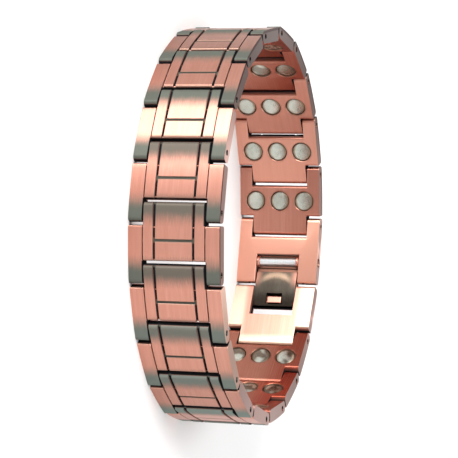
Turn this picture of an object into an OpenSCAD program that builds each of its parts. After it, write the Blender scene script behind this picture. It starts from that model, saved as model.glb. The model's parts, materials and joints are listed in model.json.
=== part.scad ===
// Magnetic bracelet: a closed loop of rigid links on pins, with a fold-over clasp.
// The loop lies on its side. Z is the width of the band and the origin is under the middle
// of the loop. In a link, X runs from the pin in its tongue to the pin in its lugs,
// Y points at the wrist and Z = 0 is the middle of the band.

/* [Loop] */
// Plain links, without the two of the clasp
links = 18; // [12:1:26]
// Length of the oval of pins, as a multiple of its width
oval_ratio = 1.095; // [1:0.005:1.3]
// Where the clasp sits, in degrees round the oval from the middle of its long side
clasp_turn = 11.3; // [-40:0.1:40]

/* [Links] */
// Distance from one link pin to the next
pitch = 10.5; // [9.5:0.1:13]
// Width of the band
band_w = 16.4; // [15.4:0.1:20]
// Thickness of the band
band_t = 2.5; // [2.3:0.1:3]
// Radius of the arch of the outer face, along the band
arch_r = 70; // [55:1:120]
// Width of each lug, and of the wing that it grows from
lug_w = 2.5; // [1.8:0.1:2.8]
// Radius of the round ends of tongue and lugs, about their pins
end_r = 1.75; // [1.5:0.05:2]
// Gap between the end of one link and the next
end_gap = 0.5; // [0.3:0.05:0.8]
// Gap on each side of the tongue
side_gap = 0.2; // [0.1:0.05:0.35]
// Width of the plate between the two deep grooves
plate_w = 6.6; // [5.4:0.1:7.2]
// Width of a deep groove
groove_w = 0.45; // [0.3:0.05:0.7]
// Depth of a deep groove
groove_d = 0.4; // [0.2:0.05:0.45]
// Distance of the cross groove from the tongue's pin
cross_x = 4.75; // [3:0.05:6.5]
// Width of the cross groove
cross_w = 0.4; // [0.2:0.05:0.6]
// Depth of the cross groove
cross_d = 0.25; // [0.1:0.05:0.4]
// Depth of the seam between block and wings
seam_d = 0.35; // [0.2:0.05:0.5]
// Bevel along the outer edges
bevel = 0.25; // [0.1:0.05:0.35]

/* [Pins] */
// Diameter of a link pin
pin_d = 1; // [0.8:0.05:1.1]
// Running clearance round a pin, on the radius
pin_fit = 0.03; // [0.02:0.01:0.08]
// Depth of a pin's ends below the sides of the band
pin_sunk = 0.35; // [0:0.05:0.6]

/* [Magnets] */
// Magnets across each link
magnets = 3; // [1:2:3]
// Diameter of a magnet
magnet_d = 3.6; // [2.5:0.1:4]
// Thickness of a magnet
magnet_t = 1.1; // [0.8:0.1:1.2]
// Distance between the magnets of a row
magnet_step = 5; // [4.4:0.1:5.4]
// Depth of the magnets' faces below the inner face
magnet_sunk = 0.15; // [0:0.05:0.25]
// Clearance round a magnet in its pocket, on the radius
magnet_fit = 0.15; // [0.05:0.05:0.2]

/* [Clasp links] */
// Distance from each end pin of the clasp to the middle of the clasp
clasp_half = 12.1; // [11.6:0.1:13]
// Gap between the two clasp links
mid_gap = 0.9; // [0.5:0.1:1.4]
// Width of the windows
window_w = 8.8; // [8:0.1:9.6]
// Distance from the lever's pin to the window's wall behind it
window_back = 1.4; // [1.4:0.05:1.8]

/* [Clasp lever] */
// Diameter of the lever's pin
hinge_d = 1.8; // [1.4:0.05:1.9]
// Running clearance of the lever on its pin, on the radius
hinge_fit = 0.05; // [0.02:0.01:0.08]
// Distance from the lever's pin to the middle of the clasp
hinge_x = 4.8; // [4.4:0.1:5.2]
// Reach of the lever from its pin
lever_reach = 9.9; // [9.7:0.1:10.3]
// Gap past the lever's tip, to the end of the catch link's window
tip_gap = 1.7; // [1.2:0.1:2.1]
// Thickness of the lever's plate
lever_t = 0.8; // [0.6:0.05:0.9]
// Depth of the two grooves in the lever's plate
lever_groove_d = 0.25; // [0.1:0.05:0.4]
// Gap on each side of the lever in the windows
lever_gap = 0.15; // [0.1:0.05:0.3]
// Thickness of the two cheeks that hold the pin
cheek_t = 0.5; // [0.4:0.05:0.8]

/* [Clasp leaf] */
// Thickness of the leaf that spans the catch link's window
leaf_t = 0.55; // [0.4:0.05:0.6]
// Radius of the leaf's bulge towards the wrist
leaf_r = 16; // [12:1:40]
// Depth of the top of the bulge from the middle of the band
leaf_rise = 1.35; // [1.3:0.05:1.5]
// Distance from the lever's pin to the leaf's free end
leaf_start = 2.1; // [1.9:0.1:2.6]
// Distance from the lever's pin to the leaf's other end
leaf_end = 9.3; // [9.2:0.1:9.5]
// Gap on each side of the leaf in the hinge link's window
leaf_gap = 0.25; // [0.15:0.05:0.4]
// Width of the nib on the lever that locks in the leaf's slot
nib_w = 2.8; // [2:0.1:3.6]
// Distance from the lever's pin to the near side of the nib
nib_start = 7.4; // [7.2:0.1:7.8]
// Distance from the lever's pin to the far side of the nib
nib_end = 8.8; // [8.6:0.05:8.9]
// Height of the nib under the lever's plate
nib_h = 0.85; // [0.7:0.05:1]
// Gap round the nib in the slot
nib_gap = 0.12; // [0.1:0.02:0.16]
// Free length of the slot behind the nib
slot_back = 0.7; // [0.4:0.1:0.9]

/* [Hidden] */
function two_digits(i) = i < 10 ? str("0", i) : str(i);
function link_name(i) = str("link_", two_digits(i));
function pin_name(i) = str("link_pin_", two_digits(i));
function magnets_name(i) = str("magnets_", two_digits(i));

// Steps round a small circle, and round one as large as the arch
fine = 64;
arch_fine = 360;
// A length that cuts clean through the band
through = 2 * band_w;

copper = [0.78, 0.52, 0.42];
dark_copper = [0.42, 0.38, 0.34];
steel = [0.80, 0.84, 0.86];
magnet_grey = [0.72, 0.74, 0.68];

// The closed loop. A point on the oval is found by its angle t, clockwise from +Y as seen
// from above, for an oval with half its width = size. Each step walks one chord.
function on_oval(t, size) = [size * oval_ratio * sin(t), size * cos(t)];
function slope(t, size) = [size * oval_ratio * cos(t), -size * sin(t)] * PI / 180;
function chord_error(t, u, len, size) = norm(on_oval(u, size) - on_oval(t, size)) - len;
function chord_rate(t, u, size) =
    let (d = on_oval(u, size) - on_oval(t, size))
    (d * slope(u, size)) / norm(d);
function settle(t, u, len, size, tries) = tries == 0
    ? u
    : settle(t, u - chord_error(t, u, len, size) / chord_rate(t, u, size), len, size, tries - 1);
function step(t, len, size) = settle(t, t + len / size * 180 / PI, len, size, 6);
function walk(t, size, left) = left == 0 ? t : walk(step(t, pitch, size), size, left - 1);
// How far past a full turn the whole chain reaches on an oval of this size
function overrun(size) =
    step(walk(step(clasp_turn, clasp_half, size), size, links), clasp_half, size)
    - clasp_turn - 360;
function solve(low, high, tries) =
    let (mid = (low + high) / 2)
    tries == 0 ? mid : overrun(mid) > 0 ? solve(mid, high, tries - 1) : solve(low, mid, tries - 1);
loop_length = links * pitch + 2 * clasp_half;
oval_size = solve(loop_length / 12, loop_length / 5, 34);

// Pin 1 is in the tongue of the catch link, the last pin in the lugs of the hinge link
first_turn = step(clasp_turn, clasp_half, oval_size);
pin_turns = [
    for (i = 0, t = first_turn; i <= links; i = i + 1, t = step(t, pitch, oval_size)) t
];
pins = [for (t = pin_turns) on_oval(t, oval_size)];
mid = on_oval(clasp_turn, oval_size);

function heading(from, to) = atan2(to[1] - from[1], to[0] - from[0]);
function turned(v, a) = [v[0] * cos(a) - v[1] * sin(a), v[0] * sin(a) + v[1] * cos(a)];
// Where each clasp link heads, half the bend between them and the mean of the two
hinge_heading = heading(mid, pins[links]);
catch_heading = heading(pins[0], mid);
half_bend = ((hinge_heading - catch_heading + 540) % 360 - 180) / 2;
mid_heading = catch_heading + half_bend;

// A link's own sizes
tongue_w = band_w - 2 * lug_w - 2 * side_gap;
shoulder_x = end_r + end_gap;
arch_y = arch_r - band_t / 2;

// The clasp, seen from its middle: X back along the band, Y to the wrist. The lever bends
// about the centre of the circle through the middle and both end pins of the clasp.
bend_r = clasp_half / (2 * sin(half_bend));
bend_centre = [0, bend_r];
hinge_at = hinge_x * [cos(half_bend), sin(half_bend)];
hinge_to_centre = norm(bend_centre - hinge_at);
lever_heading = heading(hinge_at, bend_centre) - 90;
lever_r = hinge_to_centre + band_t / 2;
lever_w = window_w - 2 * lever_gap;

// The axis of the lever's pin, for whoever turns the lever
hinge_pos = mid + turned(hinge_at, mid_heading);
echo(loop_width = 2 * oval_size + band_t, hinge_pos = hinge_pos, half_bend = half_bend);

// Puts a link on two pins, from the one in its tongue towards the one in its lugs
module on_pins(tongue_pin, lug_pin) {
    translate([tongue_pin[0], tongue_pin[1], band_w / 2])
        rotate([0, 0, heading(tongue_pin, lug_pin)])
            children();
}

// Puts a shape at the middle of the clasp
module at_mid() {
    translate([mid[0], mid[1], band_w / 2])
        rotate([0, 0, mid_heading])
            children();
}

// Puts a shape on the lever's pin, with Y towards the centre of the bend
module at_hinge() {
    at_mid()
        translate([hinge_at[0], hinge_at[1], 0])
            rotate([0, 0, lever_heading])
                children();
}

// Height of the arch's surface over a point along a link whose middle is at middle_x
function arch_at(x, middle_x) = arch_y - sqrt(pow(arch_r, 2) - pow(x - middle_x, 2));

// One strip of the outer face in section, from z0 to z1, with bevelled edges
module strip(z0, z1, top_r) {
    base_r = arch_r - 2 * band_t;
    polygon([
        [base_r, z0],
        [top_r - bevel, z0],
        [top_r, z0 + bevel],
        [top_r, z1 - bevel],
        [top_r - bevel, z1],
        [base_r, z1]
    ]);
}

// Turns strips drawn as (radius, z) about the centre of the arch
module arched(middle_x) {
    translate([middle_x, arch_y, 0])
        rotate_extrude($fn = arch_fine)
            children();
}

// The block's outer face: rail, groove, plate, groove, rail
module block_face() {
    rail_z = plate_w / 2 + groove_w;
    strip(-tongue_w / 2, -rail_z, arch_r);
    strip(-plate_w / 2, plate_w / 2, arch_r);
    strip(rail_z, tongue_w / 2, arch_r);
    translate([arch_r - 2 * band_t, -tongue_w / 2])
        square([2 * band_t - groove_d, tongue_w]);
}

// Side view of a bar from x0 to x1 with bevelled outer corners
module bar_side(x0, x1, middle_x) {
    y0 = arch_at(x0, middle_x) + bevel;
    y1 = arch_at(x1, middle_x) + bevel;
    polygon([
        [x0, band_t / 2],
        [x0, y0],
        [x0 + y0 + band_t, -band_t],
        [x1 - y1 - band_t, -band_t],
        [x1, y1],
        [x1, band_t / 2]
    ]);
}

// Side view of a bar that starts round about a pin at x = 0 and ends flat at x1
module round_start_side(x1, middle_x) {
    y1 = arch_at(x1, middle_x) + bevel;
    intersection() {
        circle(r = end_r, $fn = fine);
        translate([-2 * end_r, -band_t])
            square([2 * end_r, 1.5 * band_t]);
    }
    polygon([
        [0, band_t / 2],
        [0, -band_t],
        [x1 - y1 - band_t, -band_t],
        [x1, y1],
        [x1, band_t / 2]
    ]);
}

// The centre block with its tongue round the pin at x = 0, ending flat at x1
module block(x1, middle_x) {
    intersection() {
        linear_extrude(height = tongue_w, center = true)
            round_start_side(x1, middle_x);
        arched(middle_x)
            block_face();
    }
}

// Both wings from x0 to the round lug ends about the pin at pin_x
module wings(x0, pin_x, middle_x) {
    intersection() {
        linear_extrude(height = band_w, center = true)
            translate([pin_x, 0])
                mirror([1, 0])
                    round_start_side(pin_x - x0, pin_x - middle_x);
        arched(middle_x)
            wing_faces();
    }
}

// Both wings from x0 to x1 with no lugs
module plain_wings(x0, x1, middle_x) {
    intersection() {
        linear_extrude(height = band_w, center = true)
            bar_side(x0, x1, middle_x);
        arched(middle_x)
            wing_faces();
    }
}

// The outer faces of both wings
module wing_faces() {
    strip(-band_w / 2, lug_w - band_w / 2, arch_r);
    strip(band_w / 2 - lug_w, band_w / 2, arch_r);
}

// The core that joins block and wings, below the seams between them
module core(x0, x1, middle_x) {
    intersection() {
        translate([x0, -band_t, -band_w / 2 + lug_w / 2])
            cube([x1 - x0, 1.5 * band_t, band_w - lug_w]);
        translate([middle_x, arch_y, 0])
            cylinder(r = arch_r - seam_d, h = through, center = true, $fn = arch_fine);
    }
}

// The groove across the plate
module cross_groove(middle_x) {
    translate([cross_x, arch_at(cross_x, middle_x), 0])
        cube([cross_w, 2 * cross_d, plate_w], center = true);
}

// The bore for a link pin at x
module pin_bore(x) {
    translate([x, 0, 0])
        cylinder(d = pin_d + 2 * pin_fit, h = through, center = true, $fn = fine);
}

// The places of the magnets of one link
module each_magnet() {
    for (k = [0:magnets - 1])
        translate([pitch / 2, band_t / 2, (k - (magnets - 1) / 2) * magnet_step])
            rotate([90, 0, 0])
                children();
}

// A plain link
module plain_link() {
    notch_x = pitch - shoulder_x;
    middle_x = pitch / 2;
    difference() {
        union() {
            block(notch_x, middle_x);
            wings(shoulder_x, pitch, middle_x);
            core(shoulder_x, notch_x, middle_x);
        }
        pin_bore(0);
        pin_bore(pitch);
        cross_groove(middle_x);
        each_magnet()
            cylinder(
                d = magnet_d + 2 * magnet_fit,
                h = 2 * (magnet_t + magnet_sunk),
                center = true,
                $fn = fine
            );
    }
}

// The magnets of one link
module magnet_row() {
    each_magnet()
        translate([0, 0, magnet_sunk])
            cylinder(d = magnet_d, h = magnet_t, $fn = fine);
}

// A window in a clasp link, from x0 to x1
module window(x0, x1) {
    translate([x0, -band_t, -window_w / 2])
        cube([x1 - x0, 2 * band_t, window_w]);
}

// The clasp link that carries the lever. X runs from the middle of the clasp to its lugs.
module hinge_link() {
    notch_x = clasp_half - shoulder_x;
    middle_x = clasp_half / 2;
    start_x = mid_gap / 2;
    wall_x = hinge_x + window_back;
    difference() {
        union() {
            intersection() {
                linear_extrude(height = tongue_w, center = true)
                    bar_side(start_x, notch_x, middle_x);
                arched(middle_x)
                    block_face();
            }
            wings(start_x, clasp_half, middle_x);
            core(start_x, notch_x, middle_x);
        }
        window(start_x - end_r, wall_x);
        pin_bore(clasp_half);
        translate([hinge_x, 0, 0])
            cylinder(d = hinge_d, h = through, center = true, $fn = fine);
    }
}

// The clasp link that the lever locks into. X runs from its tongue to the middle of the clasp.
module catch_body() {
    end_x = clasp_half - mid_gap / 2;
    middle_x = clasp_half / 2;
    block(end_x, middle_x);
    plain_wings(shoulder_x, end_x, middle_x);
    core(shoulder_x, end_x, middle_x);
}

// The part of the windows within r of the lever's pin, on the side of the lever
module within_reach(r) {
    intersection() {
        at_hinge()
            cylinder(r = r, h = through, center = true, $fn = arch_fine);
        at_mid()
            translate([-2 * lever_reach, -band_w, -window_w / 2])
                cube([2 * lever_reach + hinge_x, 2 * band_w, window_w]);
    }
}

// A ring about the lever's pin between two reaches, and w wide
module reach_ring(r0, r1, w) {
    at_hinge()
        difference() {
            cylinder(r = r1, h = w, center = true, $fn = arch_fine);
            cylinder(r = r0, h = 2 * w, center = true, $fn = arch_fine);
        }
}

// The curved leaf. In the catch link's window it meets both walls, and in the hinge link's
// window it stands clear of them.
module leaf() {
    x0 = hinge_at[0] - leaf_end;
    x1 = hinge_at[0] - leaf_start;
    free_w = window_w - 2 * leaf_gap;
    seat_x = -mid_gap / 2 - 2 * bevel;
    difference() {
        at_mid()
            intersection() {
                translate([(x0 + x1) / 2, leaf_rise - leaf_r, 0])
                    difference() {
                        cylinder(r = leaf_r, h = through, center = true, $fn = arch_fine);
                        cylinder(r = leaf_r - leaf_t, h = 2 * through, center = true, $fn = arch_fine);
                    }
                union() {
                    translate([x0, -band_t, -window_w / 2 - lever_gap])
                        cube([seat_x - x0, 3 * band_t, window_w + 2 * lever_gap]);
                    translate([x0, -band_t, -free_w / 2])
                        cube([x1 - x0, 3 * band_t, free_w]);
                }
            }
        reach_ring(nib_start - slot_back, nib_end + nib_gap, nib_w + 4 * nib_gap);
    }
}

module clasp_hinge_link() {
    color(copper)
        on_pins(mid, pins[links])
            hinge_link();
}

module clasp_catch_link() {
    color(copper) {
        difference() {
            on_pins(pins[0], mid)
                difference() {
                    catch_body();
                    pin_bore(0);
                }
            within_reach(lever_reach + tip_gap);
        }
        leaf();
    }
}

// The lever: a bent plate flush with the links, a saddle and two cheeks on the pin, and the nib
module clasp_lever() {
    color(copper)
        difference() {
            union() {
                at_hinge() {
                    linear_extrude(height = lever_w, center = true)
                        lever_side();
                    for (side = [-1, 1])
                        translate([0, 0, side * (lever_w - cheek_t) / 2])
                            cylinder(d = band_t, h = cheek_t, center = true, $fn = fine);
                }
                intersection() {
                    reach_ring(nib_start, nib_end, nib_w);
                    at_hinge()
                        nib_depth();
                }
            }
            at_hinge() {
                cylinder(d = hinge_d + 2 * hinge_fit, h = through, center = true, $fn = fine);
                lever_grooves();
            }
        }
}

// The two grooves of the lever's plate, in line with those of the links
module lever_grooves() {
    for (side = [-1, 1])
        translate([0, hinge_to_centre, side * (plate_w + groove_w) / 2])
            difference() {
                cylinder(r = lever_r + lever_t, h = groove_w, center = true, $fn = arch_fine);
                cylinder(r = lever_r - lever_groove_d, h = band_w, center = true, $fn = arch_fine);
            }
}

// Side view of the lever's plate and of the saddle that it starts with
module lever_side() {
    intersection() {
        circle(d = band_t, $fn = fine);
        translate([-band_t, -band_t])
            square([2 * band_t, band_t]);
    }
    intersection() {
        translate([0, hinge_to_centre])
            difference() {
                circle(r = lever_r, $fn = arch_fine);
                circle(r = lever_r - lever_t, $fn = arch_fine);
            }
        circle(r = lever_reach, $fn = arch_fine);
        translate([-2 * lever_reach, -lever_reach])
            square([2 * lever_reach, 2 * lever_reach]);
    }
}

// The depth that the nib takes up, as a ring about the centre of the bend, on the lever's side
module nib_depth() {
    inner_r = lever_r - lever_t - nib_h;
    intersection() {
        translate([0, hinge_to_centre, 0])
            difference() {
                cylinder(r = lever_r - lever_t / 2, h = through, center = true, $fn = arch_fine);
                cylinder(r = inner_r, h = 2 * through, center = true, $fn = arch_fine);
            }
        translate([-2 * lever_reach, -lever_reach, -band_w])
            cube([2 * lever_reach, 2 * lever_reach, 2 * band_w]);
    }
}

module clasp_pin() {
    color(steel)
        on_pins(mid, pins[links])
            translate([hinge_x, 0, 0])
                cylinder(d = hinge_d, h = band_w - 2 * pin_sunk, center = true, $fn = fine);
}

module link_pin(i) {
    color(dark_copper)
        translate([pins[i - 1][0], pins[i - 1][1], pin_sunk])
            cylinder(d = pin_d, h = band_w - 2 * pin_sunk, $fn = fine);
}

module link(i) {
    color(copper)
        on_pins(pins[i], pins[i - 1])
            plain_link();
}

module link_magnets(i) {
    color(magnet_grey)
        on_pins(pins[i], pins[i - 1])
            magnet_row();
}

for (i = [1:links])
    link(i);
for (i = [1:links + 1])
    link_pin(i);
for (i = [1:links])
    link_magnets(i);
clasp_hinge_link();
clasp_catch_link();
clasp_lever();
clasp_pin();
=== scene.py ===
"""Dresses the magnetic bracelet: brushed copper links with an antique patina, pale magnets,
dark pins and the fold-over clasp, on a pale floor in soft light."""
import json
import math

import bmesh
import bpy
import numpy as np
from mathutils import Matrix, Vector

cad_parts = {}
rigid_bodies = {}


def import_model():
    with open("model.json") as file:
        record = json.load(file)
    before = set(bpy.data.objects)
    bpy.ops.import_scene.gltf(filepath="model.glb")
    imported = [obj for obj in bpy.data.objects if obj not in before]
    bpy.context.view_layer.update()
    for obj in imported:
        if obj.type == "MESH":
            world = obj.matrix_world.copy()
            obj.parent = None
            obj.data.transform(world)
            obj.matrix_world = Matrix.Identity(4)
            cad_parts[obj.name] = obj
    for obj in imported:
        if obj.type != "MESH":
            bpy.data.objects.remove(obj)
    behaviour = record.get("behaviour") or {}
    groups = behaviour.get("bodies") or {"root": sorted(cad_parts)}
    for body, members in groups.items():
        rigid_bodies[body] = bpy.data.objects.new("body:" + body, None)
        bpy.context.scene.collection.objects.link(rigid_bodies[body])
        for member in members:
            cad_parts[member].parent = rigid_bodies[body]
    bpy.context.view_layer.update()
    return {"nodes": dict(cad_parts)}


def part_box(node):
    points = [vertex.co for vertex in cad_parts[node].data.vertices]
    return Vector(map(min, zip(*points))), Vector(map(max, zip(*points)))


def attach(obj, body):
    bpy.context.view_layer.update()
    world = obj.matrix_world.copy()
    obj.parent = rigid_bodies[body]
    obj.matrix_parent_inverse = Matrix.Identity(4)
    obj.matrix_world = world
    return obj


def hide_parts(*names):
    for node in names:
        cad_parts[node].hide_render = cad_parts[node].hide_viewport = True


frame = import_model()

# Lengths are in millimetres until a piece is finished. In a link, X runs from the pin in its
# tongue to the pin in its lugs, Y points at the wrist and Z = 0 is the middle of the band.
MM = 0.001

# Link
BAND_T = 2.5
ARCH_R = 70
LUG_W = 2.5
END_R = 1.75
END_GAP = 0.5
SIDE_GAP = 0.2
PLATE_W = 6.6
GROOVE_W = 0.45
GROOVE_D = 0.4
CROSS_X = 4.75
CROSS_W = 0.4
CROSS_D = 0.25
SEAM_D = 0.35
BEVEL = 0.2
INNER_BEVEL = 0.15
RIM_BEVEL = 0.1
OUTER_EASE = 0.45
SHOULDER_EASE = 0.25
INNER_EASE = 0.6
CORNER_TURN = 0.22
STRIP_BASE = 0.3

# Pins and magnets
PIN_D = 1.0
PIN_FIT = 0.03
PIN_SUNK = 0.35
MAGNETS = 3
MAGNET_D = 3.6
MAGNET_T = 1.1
MAGNET_STEP = 5.0
MAGNET_SUNK = 0.15
MAGNET_FIT = 0.15

# Clasp
CLASP_HALF = 12.1
MID_GAP = 0.9
WINDOW_W = 8.8
WINDOW_BACK = 1.4
HINGE_D = 1.8
HINGE_FIT = 0.05
HINGE_X = 4.8
LEVER_REACH = 9.9
TIP_GAP = 1.7
LEVER_T = 0.8
LEVER_GROOVE_D = 0.25
LEVER_GAP = 0.15
CHEEK_T = 0.5
LEAF_T = 0.55
LEAF_R = 16
LEAF_RISE = 1.35
LEAF_START = 2.1
LEAF_END = 9.3
LEAF_GAP = 0.25
NIB_W = 2.8
NIB_START = 7.4
NIB_END = 8.8
NIB_H = 0.85
NIB_GAP = 0.12
NIB_BEVEL = 0.12
SLOT_BACK = 0.7
LEAF_BEVEL = 0.08
CHEEK_BEVEL = 0.08

# Meshes: points closer than MERGE are one, and an edge over SHARP_FROM degrees stays sharp
MERGE = 1e-4
SHARP_FROM = 21
ROUND_STEPS = 48
TINY = 1e-6

# What the frame gives
nodes = frame["nodes"]
link_nodes = sorted(name for name in nodes if name.startswith("link_") and "pin" not in name)
pin_nodes = sorted(name for name in nodes if name.startswith("link_pin_"))
magnet_nodes = sorted(name for name in nodes if name.startswith("magnets_"))
band_low, band_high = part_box("link_01")
BAND_W = (band_high.z - band_low.z) / MM
TONGUE_W = BAND_W - 2 * LUG_W - 2 * SIDE_GAP
SHOULDER_X = END_R + END_GAP
ARCH_Y = ARCH_R - BAND_T / 2
RAIL_Z = PLATE_W / 2 + GROOVE_W
LEVER_W = WINDOW_W - 2 * LEVER_GAP


def middle_of(node):
    """The middle of a CAD node's box, seen from above."""
    low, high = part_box(node)
    return ((low + high) / (2 * MM)).xy


def heading(start, end):
    return math.atan2(end.y - start.y, end.x - start.x)


def frame_at(place, angle):
    """The frame of a link: its origin half way up the band, turned to its heading."""
    return Matrix.Translation((place.x, place.y, BAND_W / 2)) @ Matrix.Rotation(angle, 4, "Z")


pin_places = [middle_of(name) for name in pin_nodes]
PITCH = (pin_places[1] - pin_places[0]).length
hinge = middle_of("clasp_pin")
clasp_mid = pin_places[-1] + (hinge - pin_places[-1]) * CLASP_HALF / (CLASP_HALF - HINGE_X)
hinge_heading = heading(clasp_mid, pin_places[-1])
catch_heading = heading(pin_places[0], clasp_mid)
half_bend = ((hinge_heading - catch_heading + 3 * math.pi) % (2 * math.pi) - math.pi) / 2
mid_heading = catch_heading + half_bend
bend_r = CLASP_HALF / (2 * math.sin(half_bend))
hinge_at = Vector((HINGE_X * math.cos(half_bend), HINGE_X * math.sin(half_bend)))
hinge_to_centre = (Vector((0, bend_r)) - hinge_at).length
lever_heading = heading(hinge_at, Vector((0, bend_r))) - math.pi / 2
lever_r = hinge_to_centre + BAND_T / 2

hinge_link_frame = frame_at(clasp_mid, hinge_heading)
catch_link_frame = frame_at(pin_places[0], catch_heading)
mid_frame = frame_at(clasp_mid, mid_heading)
lever_frame = (
    mid_frame @ Matrix.Translation((*hinge_at, 0)) @ Matrix.Rotation(lever_heading, 4, "Z")
)


# Mesh code

def mesh_from(bm, name):
    mesh = bpy.data.meshes.new(name)
    bm.to_mesh(mesh)
    bm.free()
    return mesh


def moved(mesh, place):
    mesh.transform(place)
    return mesh


def arch_y(x, middle_x):
    """The outer face's height at x."""
    return ARCH_Y - math.sqrt(ARCH_R ** 2 - (x - middle_x) ** 2)


def arch_points(x0, x1, middle_x, sink=0.0, steps=14):
    """The outer face from x0 to x1, or a line as far below it as sink."""
    along = [x0 + (x1 - x0) * k / steps for k in range(steps + 1)]
    return [(x, arch_y(x, middle_x) + sink) for x in along]


def eased(before, corner, after, steps=7):
    """The soft curve that cuts a corner of a side view, between a point on each side of it."""
    before, corner, after = Vector(before), Vector(corner), Vector(after)
    parts = [k / steps for k in range(steps + 1)]
    return [tuple(before * (1 - t) ** 2 + corner * 2 * t * (1 - t) + after * t ** 2) for t in parts]


def round_end(pin_x, way, middle_x, sink=0.0, steps=14):
    """The round end about a pin, from the outer face to the inner one, towards -X or +X."""
    reach = END_R
    for _ in range(8):
        y = arch_y(pin_x + way * reach, middle_x) + sink
        reach = math.sqrt(max(END_R ** 2 - y ** 2, 0))
    first = math.asin(y / END_R)
    last = math.asin(BAND_T / 2 / END_R)

    def on_end(a):
        return pin_x + way * END_R * math.cos(a), END_R * math.sin(a)

    start_x = on_end(first)[0] - way * OUTER_EASE
    inner_x = on_end(last)[0] - way * INNER_EASE
    turned = last - first - 2 * CORNER_TURN
    arc = [on_end(first + CORNER_TURN + turned * k / steps) for k in range(steps + 1)]
    return [
        *eased((start_x, arch_y(start_x, middle_x) + sink), on_end(first), arc[0]),
        *arc[1:-1],
        *eased(arc[-1], on_end(last), (inner_x, BAND_T / 2)),
    ]


def square_end(x, way, middle_x, ease, sink=0.0):
    """A flat end with soft corners, from the outer face to the inner one."""
    y = arch_y(x, middle_x) + sink
    start_x = x - way * ease
    return [
        *eased((start_x, arch_y(start_x, middle_x) + sink), (x, y), (x, y + ease)),
        *eased((x, BAND_T / 2 - INNER_EASE), (x, BAND_T / 2), (x - way * INNER_EASE, BAND_T / 2)),
    ]


def side_view(start, end, middle_x, sink=0.0, base=BAND_T / 2):
    """The side view between two ends, from the outer face down to base."""
    start, end = ([p for p in points if p[1] < base + TINY] for points in (start, end))
    top = arch_points(start[0][0], end[0][0], middle_x, sink)
    corners = [(points[-1][0], base) for points in (end, start)]
    return [*top, *end[1:], *corners, *reversed(start[1:])]


def prism(profile, z0, z1):
    """A closed solid from a side view, from z0 to z1."""
    bm = bmesh.new()
    low = [bm.verts.new((x, y, z0)) for x, y in profile]
    high = [bm.verts.new((x, y, z1)) for x, y in profile]
    bm.faces.new(low)
    bm.faces.new(high)
    for k in range(len(profile)):
        n = (k + 1) % len(profile)
        bm.faces.new((low[k], low[n], high[n], high[k]))
    bmesh.ops.remove_doubles(bm, verts=bm.verts, dist=MERGE)
    bmesh.ops.recalc_face_normals(bm, faces=bm.faces)
    return bm


def bevel_where(bm, wanted, width, segments=2, least=25):
    """Bevels the edges sharper than least degrees whose middle is wanted."""
    bm.normal_update()
    edges = [
        e for e in bm.edges
        if len(e.link_faces) == 2
        and math.degrees(e.calc_face_angle(0)) > least
        and wanted((e.verts[0].co + e.verts[1].co) / 2)
    ]
    bmesh.ops.bevel(
        bm, geom=edges, offset=width, offset_type="OFFSET", segments=segments,
        profile=0.5, affect="EDGES", clamp_overlap=True,
    )


def bar(profile, z0, z1, outer_y=None, bevel=BEVEL):
    """One strip of a link. Where outer_y(x) gives the outer face, the edges there are bevelled."""
    bm = prism(profile, z0, z1)
    if outer_y:
        bevel_where(bm, lambda p: p.y < outer_y(p.x) + 0.75 * OUTER_EASE, bevel, least=60)
    return mesh_from(bm, "bar")


def combine(solids, cutters=()):
    """One closed mesh of solids that overlap, less the cutters."""
    made = []
    for mesh in [*solids, *cutters]:
        obj = bpy.data.objects.new("part", mesh)
        bpy.context.scene.collection.objects.link(obj)
        made.append(obj)
    for k, obj in enumerate(made[1:], 1):
        modifier = made[0].modifiers.new("join", "BOOLEAN")
        modifier.operation = "UNION" if k < len(solids) else "DIFFERENCE"
        modifier.solver = "MANIFOLD"
        modifier.object = obj
    graph = bpy.context.evaluated_depsgraph_get()
    result = bpy.data.meshes.new_from_object(made[0].evaluated_get(graph))
    for obj in made:
        bpy.data.objects.remove(obj)
    return result


def lathe(profile, steps, place):
    """A closed round solid from pairs of radius and height about Z, put in its place."""
    bm = bmesh.new()
    rings = []
    for radius, height in profile:
        turns = [2 * math.pi * k / steps for k in range(steps if radius else 1)]
        round_points = [(radius * math.cos(a), radius * math.sin(a), height) for a in turns]
        rings.append([bm.verts.new(point) for point in round_points])
    for low, high in zip(rings, rings[1:]):
        for k in range(steps):
            n = (k + 1) % steps
            around = ((low, k), (low, n), (high, n), (high, k))
            corners = [ring[i % len(ring)] for ring, i in around]
            bm.faces.new(tuple(dict.fromkeys(corners)))
    bmesh.ops.recalc_face_normals(bm, faces=bm.faces)
    bm.transform(place)
    return mesh_from(bm, "round")


def rod(x, z0, z1, diameter, steps=32):
    """A cylinder across the band, on the line of the pins."""
    radius = diameter / 2
    profile = [(0, z0), (radius, z0), (radius, z1), (0, z1)]
    return lathe(profile, steps, Matrix.Translation((x, 0, 0)))


def flared_box(x0, x1, z0, z1, levels):
    """A cutter through a face: a box with, at each height in Y, a margin that it grows by."""
    bm = bmesh.new()
    rings = []
    for y, grow in levels:
        xs = (x0 - grow, x1 + grow)
        zs = (z0 - grow, z1 + grow)
        corners = ((xs[0], zs[0]), (xs[1], zs[0]), (xs[1], zs[1]), (xs[0], zs[1]))
        rings.append([bm.verts.new((x, y, z)) for x, z in corners])
    bm.faces.new(rings[0])
    bm.faces.new(rings[-1])
    for low, high in zip(rings, rings[1:]):
        for k in range(4):
            n = (k + 1) % 4
            bm.faces.new((low[k], low[n], high[n], high[k]))
    bmesh.ops.recalc_face_normals(bm, faces=bm.faces)
    return mesh_from(bm, "cutter")


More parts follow.
